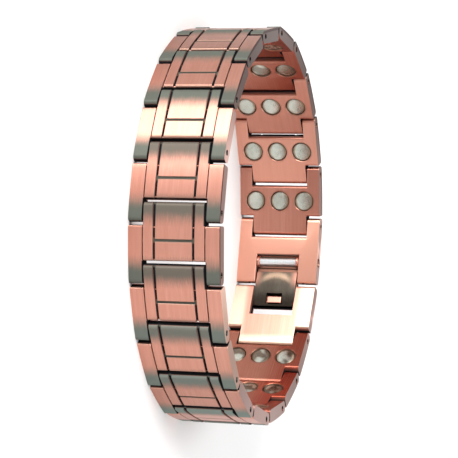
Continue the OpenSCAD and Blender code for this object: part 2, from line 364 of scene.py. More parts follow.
def pocket(x, z):
    """The pocket of one magnet with a broken rim, cut from the inner face."""
    radius = MAGNET_D / 2 + MAGNET_FIT
    rise = 1
    profile = [
        (0, -MAGNET_T - MAGNET_SUNK),
        (radius, -MAGNET_T - MAGNET_SUNK),
        (radius, -RIM_BEVEL),
        (radius + RIM_BEVEL + rise, rise),
        (0, rise),
    ]
    turn = Matrix.Rotation(-math.pi / 2, 4, "X")
    return lathe(profile, ROUND_STEPS, Matrix.Translation((x, BAND_T / 2, z)) @ turn)


def block_parts(x0, x1, middle_x, tongue):
    """The centre block: a slab up to the grooves' floors, and on it rail, plate and rail."""
    def side(sink, base):
        if tongue:
            start = round_end(0, -1, middle_x, sink)
        else:
            start = square_end(x0, -1, middle_x, OUTER_EASE, sink)
        return side_view(start, square_end(x1, 1, middle_x, OUTER_EASE, sink), middle_x, sink, base)

    def outer(x):
        return arch_y(x, middle_x)

    half = TONGUE_W / 2
    strips = [(-half, -RAIL_Z), (-PLATE_W / 2, PLATE_W / 2), (RAIL_Z, half)]
    return [
        bar(side(GROOVE_D, BAND_T / 2), -half, half),
        *(bar(side(0, STRIP_BASE), z0, z1, outer) for z0, z1 in strips),
    ]


def wing_parts(x0, x1, middle_x, lugs):
    """Both wings from x0 to x1, or round the pin at x1 where they run on as lugs."""
    end = round_end(x1, 1, middle_x) if lugs else square_end(x1, 1, middle_x, OUTER_EASE)
    profile = side_view(square_end(x0, -1, middle_x, SHOULDER_EASE), end, middle_x)
    edge = BAND_W / 2

    def outer(x):
        return arch_y(x, middle_x)

    return [bar(profile, -edge, LUG_W - edge, outer), bar(profile, edge - LUG_W, edge, outer)]


def core_part(x0, x1, middle_x):
    """What joins block and wings below the seams."""
    half = (BAND_W - LUG_W) / 2
    start = square_end(x0, -1, middle_x, OUTER_EASE, SEAM_D)
    end = square_end(x1, 1, middle_x, OUTER_EASE, SEAM_D)
    return bar(side_view(start, end, middle_x, SEAM_D), -half, half)


def link_blank(x0, x1, middle_x, tongue, lug_x=None):
    """A link before it is cut, with its inner edges broken."""
    body_x = SHOULDER_X if tongue else x0
    mesh = combine([
        core_part(body_x, x1, middle_x),
        *block_parts(x0, x1, middle_x, tongue),
        *wing_parts(body_x, lug_x or x1, middle_x, lug_x is not None),
    ])
    bm = bmesh.new()
    bm.from_mesh(mesh)
    bmesh.ops.remove_doubles(bm, verts=bm.verts, dist=MERGE)
    bmesh.ops.dissolve_limit(bm, angle_limit=math.radians(0.2), verts=bm.verts, edges=bm.edges)
    bevel_where(bm, lambda p: p.y > BAND_T / 2 - 0.8 * INNER_EASE, INNER_BEVEL, least=60)
    return mesh_from(bm, "blank")


def bore(x):
    return rod(x, -BAND_W, BAND_W, PIN_D + 2 * PIN_FIT)


def plain_link():
    notch_x = PITCH - SHOULDER_X
    middle_x = PITCH / 2
    cross_y = arch_y(CROSS_X, middle_x)
    half = PLATE_W / 2
    cross = flared_box(
        CROSS_X - CROSS_W / 2, CROSS_X + CROSS_W / 2, -half, half,
        [(cross_y + CROSS_D, 0), (cross_y + RIM_BEVEL, 0), (cross_y - 0.2, RIM_BEVEL + 0.2)],
    )
    rows = [(k - (MAGNETS - 1) / 2) * MAGNET_STEP for k in range(MAGNETS)]
    return combine(
        [link_blank(0, notch_x, middle_x, True, PITCH)],
        [bore(0), bore(PITCH), cross, *(pocket(PITCH / 2, z) for z in rows)],
    )


def window_levels():
    """The flare of a window at both of its mouths."""
    mouth = BAND_T / 2 - RIM_BEVEL
    return [(-mouth - 1, 1), (-mouth, 0), (mouth, 0), (mouth + 1, 1)]


def hinge_link():
    middle_x = CLASP_HALF / 2
    blank = link_blank(MID_GAP / 2, CLASP_HALF - SHOULDER_X, middle_x, False, CLASP_HALF)
    half = WINDOW_W / 2
    window = flared_box(-END_R, HINGE_X + WINDOW_BACK, -half, half, window_levels())
    return combine([blank], [window, bore(CLASP_HALF), rod(HINGE_X, -BAND_W, BAND_W, HINGE_D)])


def arc_points(centre, radius, first, last, steps):
    turns = [first + (last - first) * k / steps for k in range(steps + 1)]
    return [(centre[0] + radius * math.cos(a), centre[1] + radius * math.sin(a)) for a in turns]


def catch_link():
    """The catch link in the clasp's place, because the lever's reach shapes its window."""
    end_x = CLASP_HALF - MID_GAP / 2
    blank = link_blank(0, end_x, CLASP_HALF / 2, True)
    blank = combine([blank], [bore(0)])
    reach = LEVER_REACH + TIP_GAP
    swing = math.asin(2 * BAND_T / reach)
    wall = arc_points((0, 0), reach, math.pi - swing, math.pi + swing, 24)
    bm = prism([(0, 2 * BAND_T), *wall, (0, -2 * BAND_T)], -WINDOW_W / 2, WINDOW_W / 2)
    window = moved(mesh_from(bm, "window"), lever_frame)
    return combine([moved(blank, catch_link_frame)], [window])


def leaf():
    """The curved leaf in the catch link's window, with its slot, about the clasp's middle."""
    x0 = hinge_at.x - LEAF_END
    x1 = hinge_at.x - LEAF_START
    seat_x = -MID_GAP / 2 - 2 * BEVEL
    centre = ((x0 + x1) / 2, LEAF_RISE - LEAF_R)

    def strip(a, b, half):
        """The stretch of the leaf between a and b with its edges broken."""
        outer = LEAF_R
        inner = LEAF_R - LEAF_T
        first = [math.acos((x - centre[0]) / outer) for x in (a, b)]
        profile = [
            *arc_points(centre, outer, first[0], first[1], 20),
            *arc_points(centre, inner, first[1], first[0], 20),
        ]
        bm = prism(profile, -half, half)
        bevel_where(bm, lambda p: True, LEAF_BEVEL, least=40)
        return mesh_from(bm, "strip")

    slot = (NIB_START - SLOT_BACK, NIB_END + NIB_GAP)
    near, far = (hinge_at.x - distance for distance in slot)
    half = NIB_W / 2 + 2 * NIB_GAP
    cut = flared_box(far, near, -half, half, [(-BAND_T, 0), (BAND_T, 0)])
    seated = strip(x0, seat_x, WINDOW_W / 2 + LEVER_GAP)
    free = strip(x0, x1, WINDOW_W / 2 - LEAF_GAP)
    return combine([seated, free], [cut])


def lever():
    """The lever in its own frame, with its pin at the origin: plate, saddle, cheeks and nib."""
    centre = (0, hinge_to_centre)
    tip = 2 * math.asin(LEVER_REACH / (2 * lever_r))
    outer = arc_points(centre, lever_r, -math.pi / 2 - tip, -math.pi / 2, 28)
    inner = arc_points(centre, lever_r - LEVER_T, -math.pi / 2, -math.pi / 2 - tip, 28)
    half = LEVER_W / 2

    def from_centre(p):
        return math.hypot(p.x, p.y - hinge_to_centre)

    bm = prism([*outer, *inner], -half, half)
    bevel_where(bm, lambda p: from_centre(p) > lever_r - 0.02 and p.x < -0.1, BEVEL)
    plate = mesh_from(bm, "plate")
    radius = BAND_T / 2
    saddle = mesh_from(prism(arc_points((0, 0), radius, -math.pi, 0, 24), -half, half), "saddle")
    cheeks = []
    for z0, z1 in ((-half, CHEEK_T - half), (half - CHEEK_T, half)):
        profile = [
            (0, z0), (radius - CHEEK_BEVEL, z0), (radius, z0 + CHEEK_BEVEL),
            (radius, z1 - CHEEK_BEVEL), (radius - CHEEK_BEVEL, z1), (0, z1),
        ]
        cheeks.append(lathe(profile, 40, Matrix.Identity(4)))
    under = lever_r - LEVER_T
    turns = [-math.pi / 2 - reach / under for reach in (NIB_END, NIB_START)]
    nib_profile = [
        *arc_points(centre, under + LEVER_T / 2, turns[0], turns[1], 4),
        *arc_points(centre, under - NIB_H, turns[1], turns[0], 4),
    ]
    bm = prism(nib_profile, -NIB_W / 2, NIB_W / 2)
    bevel_where(bm, lambda p: from_centre(p) < under - NIB_H + 0.05, NIB_BEVEL)
    nib = mesh_from(bm, "nib")
    ring = [
        *arc_points(centre, lever_r + 1, -math.pi / 2 - 2 * tip, 0, ROUND_STEPS),
        *arc_points(centre, lever_r - LEVER_GROOVE_D, 0, -math.pi / 2 - 2 * tip, ROUND_STEPS),
    ]
    grooves = []
    for side in (-1, 1):
        middle = side * (PLATE_W + GROOVE_W) / 2
        groove = prism(ring, middle - GROOVE_W / 2, middle + GROOVE_W / 2)
        grooves.append(mesh_from(groove, "groove"))
    pin_bore = rod(0, -BAND_W, BAND_W, HINGE_D + 2 * HINGE_FIT)
    return combine([plate, saddle, *cheeks, nib], [pin_bore, *grooves])


def magnet():
    """A faintly domed disc with a rounded rim, its face to the wrist."""
    radius = MAGNET_D / 2
    rim = 0.15
    dome = 0.08
    profile = [(0, -MAGNET_T), (radius, -MAGNET_T)]
    profile += [
        (radius - rim + rim * math.cos(a), -rim + rim * math.sin(a))
        for a in (math.pi / 2 * k / 4 for k in range(5))
    ]
    profile += [((radius - rim) * part, dome * (1 - part ** 2)) for part in (0.8, 0.6, 0.4, 0.2, 0)]
    turn = Matrix.Rotation(-math.pi / 2, 4, "X")
    face_y = BAND_T / 2 - MAGNET_SUNK - dome / 2
    return lathe(profile, ROUND_STEPS, Matrix.Translation((PITCH / 2, face_y, 0)) @ turn)


def pin(x, diameter):
    """A pin across the band with slightly domed ends."""
    half = BAND_W / 2 - PIN_SUNK
    radius = diameter / 2
    dome = radius * 0.15
    end = [(radius, half - dome), (radius * 0.7, half - dome * 0.3), (0, half)]
    profile = [(r, -h) for r, h in reversed(end)] + end
    return lathe(profile, 24, Matrix.Translation((x, 0, 0)))


def note_numbers(mesh, name, numbers):
    """Gives a mesh one number for each of its points."""
    mesh.attributes.new(name, "FLOAT", "POINT").data.foreach_set("value", numbers)


def marked(mesh, ends, outer_y, back=None):
    """Notes on a finished mesh where each point and face lies in its own link, for its finish:
    its place, how far it is below the outer face, the way it faces and where the link ends."""
    back = back or Matrix.Identity(4)
    turn = back.to_3x3()
    places = [back @ v.co for v in mesh.vertices]

    def note(name, domain, vectors):
        data = mesh.attributes.new(name, "FLOAT_VECTOR", domain).data
        data.foreach_set("vector", np.array(vectors, float).ravel())

    note("place", "POINT", places)
    note_numbers(mesh, "depth", [p.y - outer_y(p.x) for p in places])
    note("facing", "FACE", [turn @ f.normal for f in mesh.polygons])
    note("ends", "POINT", [ends] * len(places))
    for polygon in mesh.polygons:
        polygon.use_smooth = True
    mesh.set_sharp_from_angle(angle=math.radians(SHARP_FROM))
    mesh.transform(Matrix.Scale(MM, 4))
    return mesh


# Arrays

def along_the_band():
    """A tree that sets a row of pieces across the band at each station, turned to its heading."""
    tree = bpy.data.node_groups.new("Along the band", "GeometryNodeTree")
    sockets = tree.interface
    sockets.new_socket("Stations", in_out="INPUT", socket_type="NodeSocketGeometry")
    sockets.new_socket("Piece", in_out="INPUT", socket_type="NodeSocketObject")
    sockets.new_socket("Across", in_out="INPUT", socket_type="NodeSocketInt")
    sockets.new_socket("Step", in_out="INPUT", socket_type="NodeSocketFloat")
    sockets.new_socket("Finish", in_out="INPUT", socket_type="NodeSocketMaterial")
    sockets.new_socket("Pieces", in_out="OUTPUT", socket_type="NodeSocketGeometry")

    def node(kind, **values):
        made = tree.nodes.new(kind)
        for key, value in values.items():
            setattr(made, key, value)
        return made

    given = node("NodeGroupInput").outputs
    piece = node("GeometryNodeObjectInfo")
    reach = node("ShaderNodeMath", operation="SUBTRACT")
    start = node("ShaderNodeMath", operation="MULTIPLY")
    from_middle = node("ShaderNodeMath", operation="MULTIPLY")
    start_place = node("ShaderNodeCombineXYZ")
    offset = node("ShaderNodeCombineXYZ")
    line = node("GeometryNodeMeshLine", mode="OFFSET")
    row = node("GeometryNodeInstanceOnPoints")
    index = node("GeometryNodeInputIndex")
    keep_index = node("GeometryNodeStoreNamedAttribute", data_type="FLOAT", domain="INSTANCE")
    row_made = node("GeometryNodeRealizeInstances")
    turn = node("GeometryNodeInputNamedAttribute", data_type="FLOAT")
    angles = node("ShaderNodeCombineXYZ")
    spread = node("GeometryNodeInstanceOnPoints")
    made = node("GeometryNodeRealizeInstances")
    finish = node("GeometryNodeSetMaterial")
    out = node("NodeGroupOutput")
    reach.inputs[1].default_value = 1
    from_middle.inputs[1].default_value = -0.5
    keep_index.inputs["Name"].default_value = "across"
    turn.inputs["Name"].default_value = "heading"
    for source, target in [
        (given["Piece"], piece.inputs["Object"]),
        (given["Across"], reach.inputs[0]),
        (reach.outputs[0], start.inputs[0]),
        (given["Step"], start.inputs[1]),
        (start.outputs[0], from_middle.inputs[0]),
        (from_middle.outputs[0], start_place.inputs["Z"]),
        (given["Step"], offset.inputs["Z"]),
        (given["Across"], line.inputs["Count"]),
        (start_place.outputs[0], line.inputs["Start Location"]),
        (offset.outputs[0], line.inputs["Offset"]),
        (line.outputs[0], row.inputs["Points"]),
        (piece.outputs["Geometry"], row.inputs["Instance"]),
        (row.outputs[0], keep_index.inputs["Geometry"]),
        (index.outputs[0], keep_index.inputs["Value"]),
        (keep_index.outputs[0], row_made.inputs[0]),
        (turn.outputs["Attribute"], angles.inputs["Z"]),
        (given["Stations"], spread.inputs["Points"]),
        (row_made.outputs[0], spread.inputs["Instance"]),
        (angles.outputs[0], spread.inputs["Rotation"]),
        (spread.outputs[0], made.inputs[0]),
        (made.outputs[0], finish.inputs["Geometry"]),
        (given["Finish"], finish.inputs["Material"]),
        (finish.outputs[0], out.inputs["Pieces"]),
    ]:
        tree.links.new(source, target)
    return tree


def stations(name, places, headings, tones):
    """A point for each place, with its heading, its number and how light or dark its link is."""
    mesh = bpy.data.meshes.new(name)
    mesh.from_pydata([(p.x * MM, p.y * MM, BAND_W * MM / 2) for p in places], [], [])
    note_numbers(mesh, "heading", headings)
    note_numbers(mesh, "number", [float(k + 1) for k in range(len(places))])
    note_numbers(mesh, "tone", tones)
    return mesh


def arrayed(name, tree, points, template, finish, across=1, step=0.0):
    """The pieces that the tree makes from one template, as a plain mesh."""
    shown = bpy.context.scene.collection.objects
    source = bpy.data.objects.new("template", template)
    shown.link(source)
    obj = bpy.data.objects.new(name, points)
    shown.link(obj)
    modifier = obj.modifiers.new("Along the band", "NODES")
    modifier.node_group = tree
    values = {"Piece": source, "Across": across, "Step": step * MM, "Finish": finish}
    for item in tree.interface.items_tree:
        if item.in_out == "INPUT" and item.name in values:
            modifier[item.identifier] = values[item.name]
    graph = bpy.context.evaluated_depsgraph_get()
    mesh = bpy.data.meshes.new_from_object(obj.evaluated_get(graph))
    bpy.data.objects.remove(obj)
    bpy.data.objects.remove(source)
    return piece_of(name, mesh, finish)


def piece_of(name, mesh, finish):
    """An object at the origin that shows a mesh in one finish."""
    mesh.name = name
    mesh.materials.clear()
    mesh.materials.append(finish)
    obj = bpy.data.objects.new(name, mesh)
    bpy.context.scene.collection.objects.link(obj)
    return obj


# Shader maths

class Signal:
    """A socket of a material, so that its maths is written as Python."""

    def __init__(self, tree, socket):
        self.tree = tree
        self.socket = socket

    def math(self, operation, *others):
        terms = dict(enumerate((self, *others)))
        made = add_node(self.tree, "ShaderNodeMath", {"operation": operation}, terms)
        return Signal(self.tree, made.outputs[0])

    def __add__(self, other):
        return self.math("ADD", other)

    def __sub__(self, other):
        return self.math("SUBTRACT", other)

    def __mul__(self, other):
        return self.math("MULTIPLY", other)

    def __truediv__(self, other):
        return self.math("DIVIDE", other)

    def __pow__(self, other):
        return self.math("POWER", other)

    def __neg__(self):
        return self * -1

    def __abs__(self):
        return self.math("ABSOLUTE")

    def __rsub__(self, other):
        return self * -1 + other

    __radd__ = __add__
    __rmul__ = __mul__

    def at_most(self, other):
        return self.math("MINIMUM", other)

    def at_least(self, other):
        return self.math("MAXIMUM", other)

    def rise(self, low, high):
        """0 below low and 1 above high, smooth between. With high below low it falls."""
        made = add_node(
            self.tree, "ShaderNodeMapRange", {"interpolation_type": "SMOOTHSTEP"},
            {"Value": self, "From Min": low, "From Max": high},
        )
        return Signal(self.tree, made.outputs["Result"])


def feed(tree, socket, value):
    """Links a signal to a socket, or sets the socket to a value."""
    if isinstance(value, Signal):
        tree.links.new(value.socket, socket)
    else:
        socket.default_value = value


def add_node(tree, kind, settings, sockets):
    """Adds any node. Its settings are set first, then the values or links of its sockets, each
    by its name or number."""
    made = tree.nodes.new(kind)
    for key, value in settings.items():
        setattr(made, key, value)
    for key, value in sockets.items():
        feed(tree, made.inputs[key], value)
    return made


def mixed(factor, first, second):
    """The second colour over the first by a factor. A colour mix has them at sockets 6 and 7."""
    colours = {0: factor, 6: first, 7: second}
    made = add_node(factor.tree, "ShaderNodeMix", {"data_type": "RGBA"}, colours)
    return Signal(factor.tree, made.outputs[2])


def noted(tree, name, output="Fac"):
    """What a mesh notes under a name: a number, or a vector as the output Vector."""
    made = add_node(tree, "ShaderNodeAttribute", {"attribute_name": name}, {})
    return Signal(tree, made.outputs[output])


def split(tree, name):
    """The three parts of a vector that a mesh notes."""
    parts = add_node(tree, "ShaderNodeSeparateXYZ", {}, {0: noted(tree, name, "Vector")})
    return [Signal(tree, out) for out in parts.outputs]


def new_material(name):
    material = bpy.data.materials.new(name)
    material.use_nodes = True
    tree = material.node_tree
    shader = next(n for n in tree.nodes if n.type == "BSDF_PRINCIPLED")
    return material, tree, shader


def rgb(red, green, blue):
    """A colour as the eye reads it, 0 to 255, in the renderer's linear scale."""
    def linear(value):
        value /= 255
        return value / 12.92 if value <= 0.04045 else ((value + 0.055) / 1.055) ** 2.4
    return (linear(red), linear(green), linear(blue), 1.0)


# How far a pattern is shifted from one link to the next, and how deep scratches are, in metres
LINK_SHIFT = (7.31, 0.0, 3.17)
RELIEF = 0.00002


def drawn_noise(tree, place, scales, number=0.0, detail=3.0):
    """Noise with its own scale per millimetre along X, Y and Z, and shifted from link to link."""
    drawn = [
        value * scale + number * shift
        for value, scale, shift in zip(place, scales, LINK_SHIFT)
    ]
    joined = add_node(tree, "ShaderNodeCombineXYZ", {}, dict(enumerate(drawn)))
    noise = add_node(
        tree, "ShaderNodeTexNoise", {"noise_dimensions": "3D"},
        {"Vector": Signal(tree, joined.outputs[0]), "Scale": 1.0, "Detail": detail},
    )
    return Signal(tree, noise.outputs["Fac"])


def scratched(tree, shader, height, strength=0.2):
    """Fine relief, as brushing leaves it."""
    relief = {"Strength": strength, "Distance": RELIEF, "Height": height}
    bump = add_node(tree, "ShaderNodeBump", {}, relief)
    tree.links.new(bump.outputs["Normal"], shader.inputs["Normal"])


def finished(tree, shader, colour, roughness, metallic=1.0):
    """Gives the shader what makes up a finish."""
    feed(tree, shader.inputs["Base Color"], colour)
    feed(tree, shader.inputs["Roughness"], roughness)
    feed(tree, shader.inputs["Metallic"], metallic)


def fanned(shader):
    """Brushing along the band spreads each highlight across the band."""
    shader.inputs["Anisotropic"].default_value = 0.9
    shader.inputs["Anisotropic Rotation"].default_value = 0.25


# Where the patina begins to show and where it is full, in millimetres from an end of the link
TONGUE_PATINA = (4.4, 1.4)
NOTCH_PATINA = (0.9, 0.1)
LUG_PATINA = (5.4, 2.0)

# Links by their number, counted from the catch link. From SHADED_FROM on, the side faces are
# painted
# # in shade, but for LIT_LINK. The two links about SIDE_LIT have side faces painted bright as lit.
# The
# # patina is painted palest, as lit, at PALE_LINK and fades over PALE_REACH links, and on the
# blocks it
# # is warm up to WARM_TO.
SHADED_FROM = 8
LIT_LINK = 10
SIDE_LIT = 6.5
PALE_LINK = 5
PALE_REACH = 3
WARM_TO = 9


def brushed_copper():
    """Copper brushed along the band, paler on the bevels, partly from wear and partly as a painted
    highlight, with a grey patina at the ends of the blocks and lugs and black in the grooves and
    gaps. A link's tone, partly its own colour and partly painted light and shade, is below 0 where
    the link is painted darker and redder, 1 where it is painted light and 2 where its inner face
    carries a painted white highlight at its sides and tongue end."""
    material, tree, shader = new_material("brushed copper")
    place = split(tree, "place")
    x, y, z = place
    face_x, face_y, face_z = split(tree, "facing")
    tongue_x, notch_x, lug_x = split(tree, "ends")
    number = noted(tree, "number")
    depth = noted(tree, "depth")
    tone = noted(tree, "tone")
    fine = drawn_noise(tree, place, (0.12, 11.0, 11.0), number)
    broad = drawn_noise(tree, place, (0.06, 1.4, 1.4), number + 5)

    # Faces
    half_band = BAND_W / 2
    outer = (-face_y).rise(0.75, 0.95)
    inner = face_y.rise(0.25, 0.6)
    side = abs(face_z).rise(0.6, 0.9) * abs(z).rise(half_band - 0.3, half_band - 0.1)
    edge = (-face_y).rise(0.3, 0.5) * (1 - outer)
    rim = abs(face_z).rise(0.2, 0.45) * depth.rise(0.5, 0.35)
    rim = rim * abs(z).rise(half_band - 0.35, half_band - 0.2)
    in_block = abs(z).rise(TONGUE_W / 2 + 0.15, TONGUE_W / 2)

    # Pockets of the magnets
    row_end = MAGNETS * MAGNET_STEP / 2
    radius = MAGNET_D / 2
    has_magnets = number.rise(0.4, 0.6) * abs(z).rise(row_end, row_end - 0.05)
    from_row = abs((z / MAGNET_STEP + 0.5).math("FRACT") - 0.5) * MAGNET_STEP
    from_magnet = ((x - PITCH / 2) ** 2 + from_row ** 2) ** 0.5
    pocket_wall = from_magnet.rise(radius + 0.45, radius + 0.35) * depth.rise(0.9, 1.1)
    pocket_wall = pocket_wall * has_magnets
    pocket_rim = from_magnet.rise(radius + 0.6, radius + 0.1) * inner * has_magnets

    # Grooves and gaps
    floors = depth.rise(0.12, 0.2) * (-face_y).rise(0.97, 0.99)
    flanks = depth.rise(0.15, 0.3) * abs(face_z).rise(0.6, 0.9) * (1 - side)
    in_cross = abs(x - CROSS_X).rise(CROSS_W / 2 + 0.3, CROSS_W / 2 + 0.2)
    gap_walls = abs(face_x).rise(0.5, 0.9) * (depth.rise(0.25, 0.5) + in_cross)
    # Black beside the side gaps, wider on the +Z side: partly oxide, partly painted shade.
    past_body = (SHOULDER_X - x).rise(0, 0.1).at_least((x - notch_x).rise(0, 0.1))
    from_gap = abs(abs(z) - (TONGUE_W + SIDE_GAP) / 2) - z.rise(-1, 1) * 0.1
    gap_edges = from_gap.rise(0.2, 0.12) * past_body
    groove_edges = abs(abs(z) - (PLATE_W + GROOVE_W) / 2).rise(0.38, 0.28) * x.rise(4.0, 0.5)
    recess = flanks.at_least(gap_walls) * (1 - depth.rise(1.2, 2.0) * 0.7)
    recess = recess.at_least(floors).at_least(gap_edges).at_least(groove_edges * 0.5)
    recess = recess.at_most(1) * (1 - inner) * (1 - pocket_wall)
    # The lever's inside is painted brown and its tip under the leaf black: painted shade.
    underside = inner * depth.rise(1.7, 1.4)
    lever_tip = underside * (x - tongue_x).rise(1.4, 0.9)

    # Patina, with a ragged end
    ragged = (fine - 0.5) * 1.2 + (broad - 0.5) * 0.8
    from_tongue = x - tongue_x + ragged
    from_notch = notch_x - x + ragged
    from_lug = lug_x - x + ragged
    patina = in_block * from_tongue.rise(*TONGUE_PATINA)
    patina = patina.at_least(in_block * from_notch.rise(*NOTCH_PATINA) * 0.35)
    patina = patina.at_least((1 - in_block) * from_lug.rise(*LUG_PATINA))
    patina = patina * (-face_y).rise(0.15, 0.45)
    # The patina is painted paler about PALE_LINK, as if lit more: painted light.
    paler = (1 - abs(number + in_block - PALE_LINK) / PALE_REACH).at_least(0)
    warmer = in_block * number.rise(WARM_TO + 0.9, WARM_TO + 0.1)

    # Colour
    # Side faces and their rims are painted in shade from SHADED_FROM on, but not on LIT_LINK, and
    # bright about SIDE_LIT: painted shade and light.
    dimmer = number.rise(SHADED_FROM - 0.6, SHADED_FROM)
    dimmer = dimmer * (1 - (1 - abs(number - LIT_LINK)).at_least(0) * 0.8)
    bright = (1.5 - abs(number - SIDE_LIT)).at_least(0).at_most(1)
    # Inner faces of dark-toned links painted red towards +Z: painted shade, red with copper
    # reflected from the faces opposite.
    painted_red_shade = (-tone * 1.4).at_least(0).at_most(1) * inner * z.rise(0, 6) * 0.8
    # Where the catch link's inner face is painted white as a highlight: at its sides and its tongue
    # end.
    painted_highlight_zone = abs(z).rise(4.8, 6.2).at_least((x - tongue_x).rise(2.8, 1.2))
    copper = mixed(broad.rise(0.2, 0.8), COPPER, COPPER_DEEP)
    # Each link's tone: partly its own colour, partly painted light towards COPPER_LIGHT and painted
    # shade towards DUSK.
    copper = mixed((1 - abs(tone - 1)).at_least(0), copper, COPPER_LIGHT)
    copper = mixed((-tone).at_least(0), copper, mixed(inner, DUSK, DUSK_WARM))
    copper = mixed(painted_red_shade, copper, DUSK_RED)
    copper = mixed(tone.rise(1, 2) * painted_highlight_zone * inner, copper, COPPER_WHITE)
    copper = mixed(fine.rise(0.45, 0.8) * 0.25, copper, COPPER_PALE)
    # Bevels paler: partly wear, partly a painted highlight.
    copper = mixed(edge * 0.5, copper, COPPER_PALE)
    copper = mixed(side * 0.6, copper, COPPER_SIDE)
    copper = mixed(side * dimmer * 0.6, copper, SIDE_SHADE)
    copper = mixed(side * bright * 0.6, copper, SIDE_BRIGHT)
    copper = mixed(rim * dimmer * 0.9, copper, RIM_SHADE)
    copper = mixed((pocket_rim * 0.3).at_least(underside * 0.7), copper, BROWN)
    # Pocket walls painted paler to lift the shade in them: painted light.
    copper = mixed(pocket_wall * (1 - inner) * 0.7, copper, POCKET)
    patina_with_painted_light = mixed(paler, mixed(warmer, PATINA, PATINA_WARM), PATINA_PALE)
    copper = mixed(patina, copper, patina_with_painted_light)
    black = mixed(in_cross * 0.9, RECESS, CROSS_GREY)
    copper = mixed(recess.at_least(lever_tip), copper, black)
    finished(
        tree, shader, copper, fine * 0.10 + 0.34 + patina * 0.2 + recess * 0.3,
        1 - (patina * 0.65).at_least(recess),
    )
    shader.inputs["Specular IOR Level"].default_value = 0.0
    fanned(shader)
    scratched(tree, shader, fine)
    return material


def antique_leaf():
    """The leaf's dark brushed metal, paler towards its free end, with a painted highlight as a pale
    arc across it there, and to copper along its sides."""
    material, tree, shader = new_material("antique leaf")
    place = split(tree, "place")
    x, _, z = place
    fine = drawn_noise(tree, place, (0.15, 9.0, 9.0))
    broad = drawn_noise(tree, place, (0.3, 1.0, 1.0))
    from_free = hinge_at.x - LEAF_START - x
    # Paler towards its free end.
    paler_to_free_end = (from_free + (fine - 0.5) * 1.5).rise(3.2, 0.3)
    # A painted highlight: a pale arc across the free end.
    from_arc = abs(from_free - z ** 2 * 0.13 - 0.7 + (fine - 0.5) * 0.8)
    arc = from_arc.rise(1.1, 0) * abs(z).rise(3.8, 1.5)
    sides = abs(z).rise(WINDOW_W / 2 - 1.8, WINDOW_W / 2 - LEAF_GAP)
    metal = mixed(broad.rise(0.2, 0.8) * 0.6 + 0.2, LEAF_DARK, LEAF_GREY)
    metal = mixed(fine.rise(0.4, 0.9) * 0.25, metal, LEAF_PALE)
    metal = mixed(paler_to_free_end * 0.45, metal, LEAF_PALE)
    metal = mixed(sides * from_free.rise(4.0, 1.0) * 0.6, metal, COPPER_DEEP)
    metal = mixed(arc * 0.7, metal, LEAF_ARC)
    finished(tree, shader, metal, fine * 0.12 + 0.34)
    fanned(shader)
    scratched(tree, shader, fine)
    return material


def plated_magnet():
    """Plated discs, faintly mottled and each of its own tone, rougher and olive towards the rim. On
    links of a dark tone, dark swirls are painted over them as reflections."""
    material, tree, shader = new_material("plated magnet")
    place = split(tree, "place")
    x, _, z = place
    number = noted(tree, "number")
    across = noted(tree, "across")
    mottled = drawn_noise(tree, place, (1.1, 1.1, 1.1), number * 3 + across, 4.0)
    from_middle = ((x - PITCH / 2) ** 2 * 1.1 + z ** 2 * 1.65) ** 0.5
    rim = (from_middle + (mottled - 0.5) * 0.25).rise(MAGNET_D * 0.43, MAGNET_D * 0.56)
    tone = (number * 2.3 + across * 4.1).math("SINE") * 0.5 + 0.5
    plate = mixed(mottled.rise(0.35, 0.7) * 0.5 + tone * 0.4, MAGNET_PALE, MAGNET_GREY)
    plate = mixed(rim * 0.85, plate, MAGNET_OLIVE)
    # Dark swirls on links of a dark tone: painted reflections.
    swirl = drawn_noise(tree, place, (0.45, 0.45, 0.45), number * 5 + across * 2, 1.0)
    shade = (noted(tree, "tone") * -1.6).at_least(0).at_most(1)
    plate = mixed(swirl.rise(0.6, 0.42) * shade, plate, MAGNET_DARK)
    finished(tree, shader, plate, mottled * 0.12 + 0.2 + rim * 0.15)
    scratched(tree, shader, mottled, 0.1)
    return material


def turned_metal(name, middle_x, bright, dimmer, roughness):
    """A pin's metal, with the fine rings of the lathe round it and on its ends."""
    material, tree, shader = new_material(name)
    x, y, z = split(tree, "place")
    from_axis = ((x - middle_x) ** 2 + y ** 2) ** 0.5
    rings = drawn_noise(tree, (from_axis, y, z), (9.0, 0.4, 9.0), detail=4.0)
    finished(tree, shader, mixed(rings.rise(0.35, 0.65), bright, dimmer), rings * 0.1 + roughness)
    scratched(tree, shader, rings, 0.05)
    return material


# Colours and finishes
# Painted light and shade: COPPER_LIGHT and COPPER_WHITE are painted highlights; DUSK, DUSK_WARM,
# DUSK_RED, SIDE_SHADE and RIM_SHADE are painted shade, DUSK_RED red with reflected copper;
# SIDE_BRIGHT, PATINA_PALE and POCKET are painted light; LEAF_ARC is a painted highlight;
# MAGNET_DARK is a painted reflection; BROWN is in part painted shade. COPPER_LIGHT, DUSK and
# DUSK_WARM also carry the links' own tones.
COPPER = rgb(218, 156, 138)
COPPER_DEEP = rgb(208, 145, 126)
COPPER_PALE = rgb(236, 190, 168)
COPPER_SIDE = rgb(220, 194, 188)
COPPER_LIGHT = rgb(248, 184, 160)
DUSK = rgb(160, 118, 104)
DUSK_WARM = rgb(166, 104, 84)
DUSK_RED = rgb(166, 62, 40)
COPPER_WHITE = rgb(232, 202, 180)
POCKET = rgb(176, 156, 134)
BROWN = rgb(112, 84, 66)
SIDE_SHADE = rgb(46, 40, 38)
SIDE_BRIGHT = rgb(255, 214, 190)
RIM_SHADE = rgb(84, 40, 32)
PATINA = rgb(96, 99, 91)
PATINA_WARM = rgb(106, 99, 90)
PATINA_PALE = rgb(137, 147, 139)
RECESS = rgb(30, 31, 33)
CROSS_GREY = rgb(84, 84, 76)
LEAF_DARK = rgb(58, 52, 46)
LEAF_GREY = rgb(74, 70, 63)
LEAF_PALE = rgb(124, 110, 95)
LEAF_ARC = rgb(186, 158, 134)
MAGNET_PALE = rgb(206, 212, 202)
